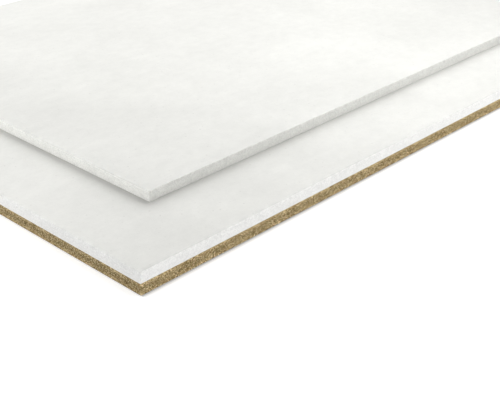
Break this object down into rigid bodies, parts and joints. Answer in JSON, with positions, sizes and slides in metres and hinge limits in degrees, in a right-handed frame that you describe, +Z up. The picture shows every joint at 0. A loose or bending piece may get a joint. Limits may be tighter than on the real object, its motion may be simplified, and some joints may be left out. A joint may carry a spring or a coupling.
{
  "type": "dry screed floor element",
  "caption": "Flat floor element of glued gypsum fibreboards, slid to leave a stepped edge on one long side and one end, on a wood fibre insulation layer.",
  "frame": {"origin": "middle of the element's underside, at the centre of its outer length and width", "axes": "+X along the element, away from the end with the step; +Y across it, away from the long side with the step; +Z up out of the walking face"},
  "size_m": [1.575, 0.575, 0.03],
  "materials": {
    "wood_fibre": "rough pressed fibre, sawn edges",
    "lower_gypsum_fibre": "matt, sanded faces and sawn edges",
    "upper_gypsum_fibre": "matt, sanded faces and sawn edges"
  },
  "bodies": {
    "root": {"wood_fibre_board": "wood_fibre", "lower_gypsum_fibreboard": "lower_gypsum_fibre", "upper_gypsum_fibreboard": "upper_gypsum_fibre"}
  },
  "joints": []
}
